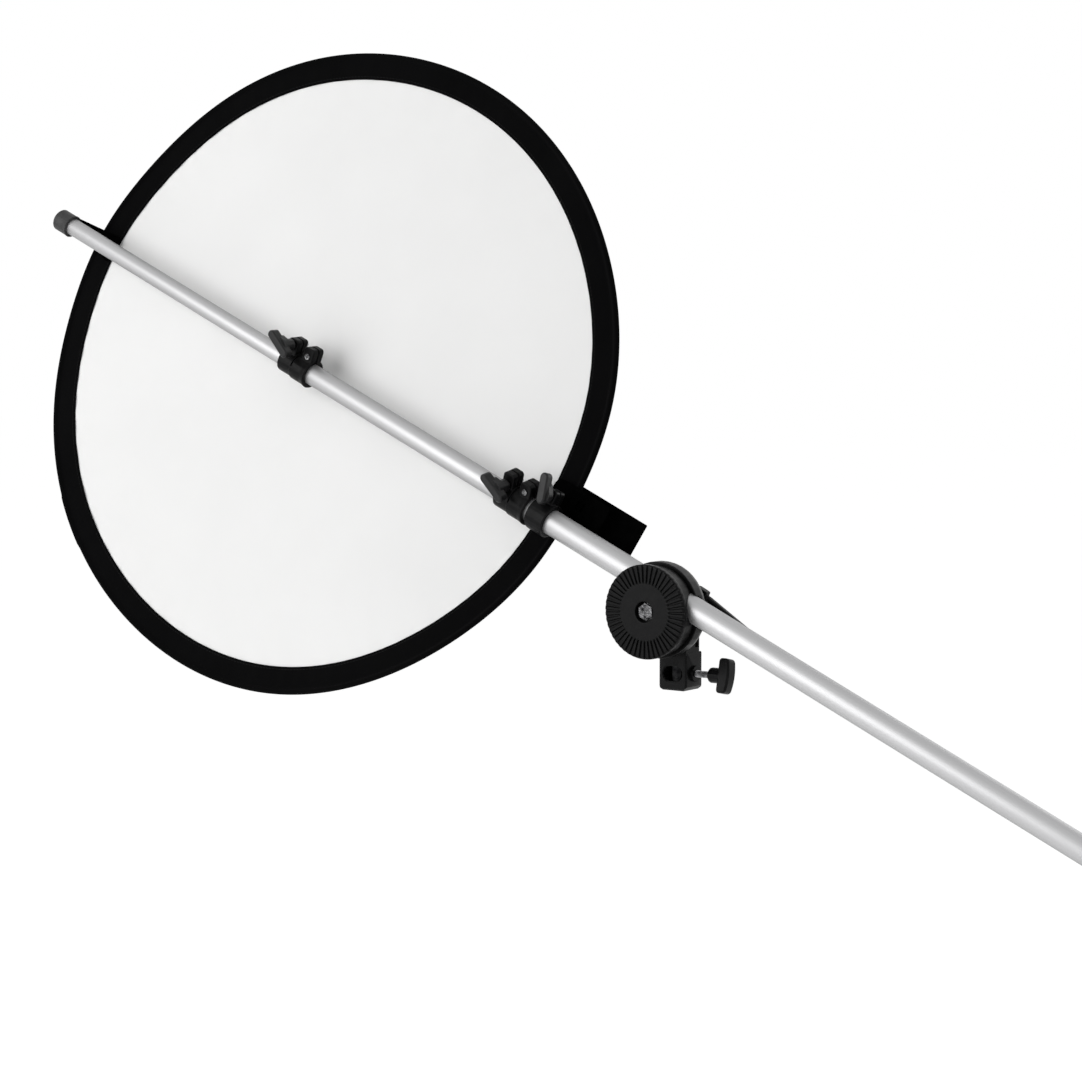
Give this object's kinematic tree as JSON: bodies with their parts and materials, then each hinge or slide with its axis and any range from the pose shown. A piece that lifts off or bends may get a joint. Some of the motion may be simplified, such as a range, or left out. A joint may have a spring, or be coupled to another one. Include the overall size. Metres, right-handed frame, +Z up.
{
  "type": "collapsible reflector disc on holder arm",
  "caption": "Round pop-up cloth reflector held at its rim by two clips on a telescopic tube arm, with a tilting clamp head and a socket for a stand's stud.",
  "frame": {"origin": "middle of the receiver's underside, on the axis of the socket for the stand's stud", "axes": "+Z up along the socket, +X the way the arm's tail runs down, -Y the way the white panel and the ribbed plate face"},
  "size_m": [1.1452, 0.1745, 0.6793],
  "materials": {
    "black_plastic": "satin moulded nylon",
    "rubber_coating": "dead matte coating",
    "anodised_tube": "satin clear anodised",
    "steel": "bright zinc plated",
    "brass": "turned",
    "white_cloth": "smooth translucent nylon",
    "black_cloth": "woven binding tape"
  },
  "bodies": {
    "receiver": {"receiver": "black_plastic", "socket_liner": "steel", "screw_insert": "brass"},
    "socket_screw": {"socket_screw": "steel"},
    "socket_knob": {"socket_knob": "black_plastic"},
    "head": {"front_plate": "black_plastic", "front_jaw": "black_plastic", "rear_jaw": "black_plastic", "head_bolt": "steel", "friction_disc": "rubber_coating"},
    "clamp_handle": {"clamp_handle": "black_plastic", "handle_nut": "steel", "handle_washer": "steel"},
    "arm": {"outer_tube": "anodised_tube", "tail_cap": "black_plastic", "lower_lock_collar": "black_plastic", "lower_lock_bolt": "steel", "lower_lock_screw": "steel", "lower_lock_nut": "steel"},
    "lower_lock_lever": {"lower_lock_lever": "black_plastic"},
    "mid_section": {"mid_tube": "anodised_tube", "mid_tube_guide": "black_plastic", "upper_lock_collar": "black_plastic", "upper_lock_bolt": "steel", "upper_lock_screw": "steel", "upper_lock_nut": "steel"},
    "upper_lock_lever": {"upper_lock_lever": "black_plastic"},
    "inner_section": {"inner_tube": "anodised_tube", "inner_tube_guide": "black_plastic"},
    "end_clip": {"end_cap": "black_plastic", "end_hook": "rubber_coating", "end_hook_screw": "steel"},
    "slide_bush": {"slide_bush": "black_plastic"},
    "rim_clip": {"slide_collar": "black_plastic", "slide_bolt": "steel", "clip_plate": "rubber_coating", "clip_screw_1": "steel", "clip_screw_2": "steel", "jaw_pin": "steel", "reflector_panel": "white_cloth", "rim_binding": "black_cloth", "steel_hoop": "steel", "hoop_ferrule": "brass"},
    "slide_lever": {"slide_lever": "black_plastic"},
    "clip_jaw": {"clip_jaw": "black_plastic", "jaw_spring": "steel"}
  },
  "joints": [
    {"name": "socket_screw_slide", "type": "slide", "parent": "receiver", "child": "socket_screw", "axis": [1, 0, 0], "range_m": [-0.013, 0]},
    {"name": "socket_knob_turn", "type": "hinge", "parent": "socket_screw", "child": "socket_knob", "pos_m": [0.04, 0, 0.0144], "axis": [1, 0, 0], "range_deg": [-4680, 0]},
    {"name": "head_tilt", "type": "hinge", "parent": "receiver", "child": "head", "pos_m": [0, 0, 0.0711], "axis": [0, 1, 0], "range_deg": [-70, 64]},
    {"name": "clamp_handle_turn", "type": "hinge", "parent": "head", "child": "clamp_handle", "pos_m": [0, 0, 0.0711], "axis": [0, 1, 0], "range_deg": [-120, 15]},
    {"name": "arm_slide", "type": "slide", "parent": "head", "child": "arm", "axis": [0.91, 0, -0.4147], "range_m": [-0.42, 0.015]},
    {"name": "lower_lever_turn", "type": "hinge", "parent": "arm", "child": "lower_lock_lever", "pos_m": [-0.14825, -0.04033, 0.17382], "axis": [0.1073, 0.9659, 0.2355], "range_deg": [-110, 0]},
    {"name": "mid_tube_slide", "type": "slide", "parent": "arm", "child": "mid_section", "axis": [-0.91, 0, 0.4147], "range_m": [0, 0.29]},
    {"name": "upper_lever_turn", "type": "hinge", "parent": "mid_section", "child": "upper_lock_lever", "pos_m": [-0.39183, -0.03746, 0.2892], "axis": [0.0217, 0.9986, 0.0476], "range_deg": [-110, 0]},
    {"name": "inner_tube_slide", "type": "slide", "parent": "mid_section", "child": "inner_section", "axis": [-0.91, 0, 0.4147], "range_m": [0, 0.255]},
    {"name": "end_clip_swing", "type": "hinge", "parent": "inner_section", "child": "end_clip", "pos_m": [0.00734, -0.0365, 0.08721], "axis": [0.91, 0, -0.4147], "range_deg": [-25, 25]},
    {"name": "rim_clip_slide", "type": "slide", "parent": "arm", "child": "slide_bush", "axis": [0.91, 0, -0.4147], "range_m": [0, 0.02]},
    {"name": "rim_clip_swing", "type": "hinge", "parent": "slide_bush", "child": "rim_clip", "pos_m": [0.00734, -0.0365, 0.08721], "axis": [0.91, 0, -0.4147], "range_deg": [-25, 25]},
    {"name": "slide_lever_turn", "type": "hinge", "parent": "rim_clip", "child": "slide_lever", "pos_m": [-0.10978, -0.0331, 0.16179], "axis": [-0.072, 0.9848, -0.158], "range_deg": [0, 100]},
    {"name": "jaw_open", "type": "hinge", "parent": "rim_clip", "child": "clip_jaw", "pos_m": [-0.1082, -0.01434, 0.13269], "axis": [0.3978, 0.2823, 0.8729], "range_deg": [0, 13], "stiffness_Nm_per_rad": 0.3, "springref_deg": -17.19}
  ],
  "couplings": [
    {"joint": "socket_knob_turn", "follows": "socket_screw_slide", "rad_per_m": 6283.2},
    {"joint": "end_clip_swing", "follows": "rim_clip_swing", "ratio": 1}
  ]
}
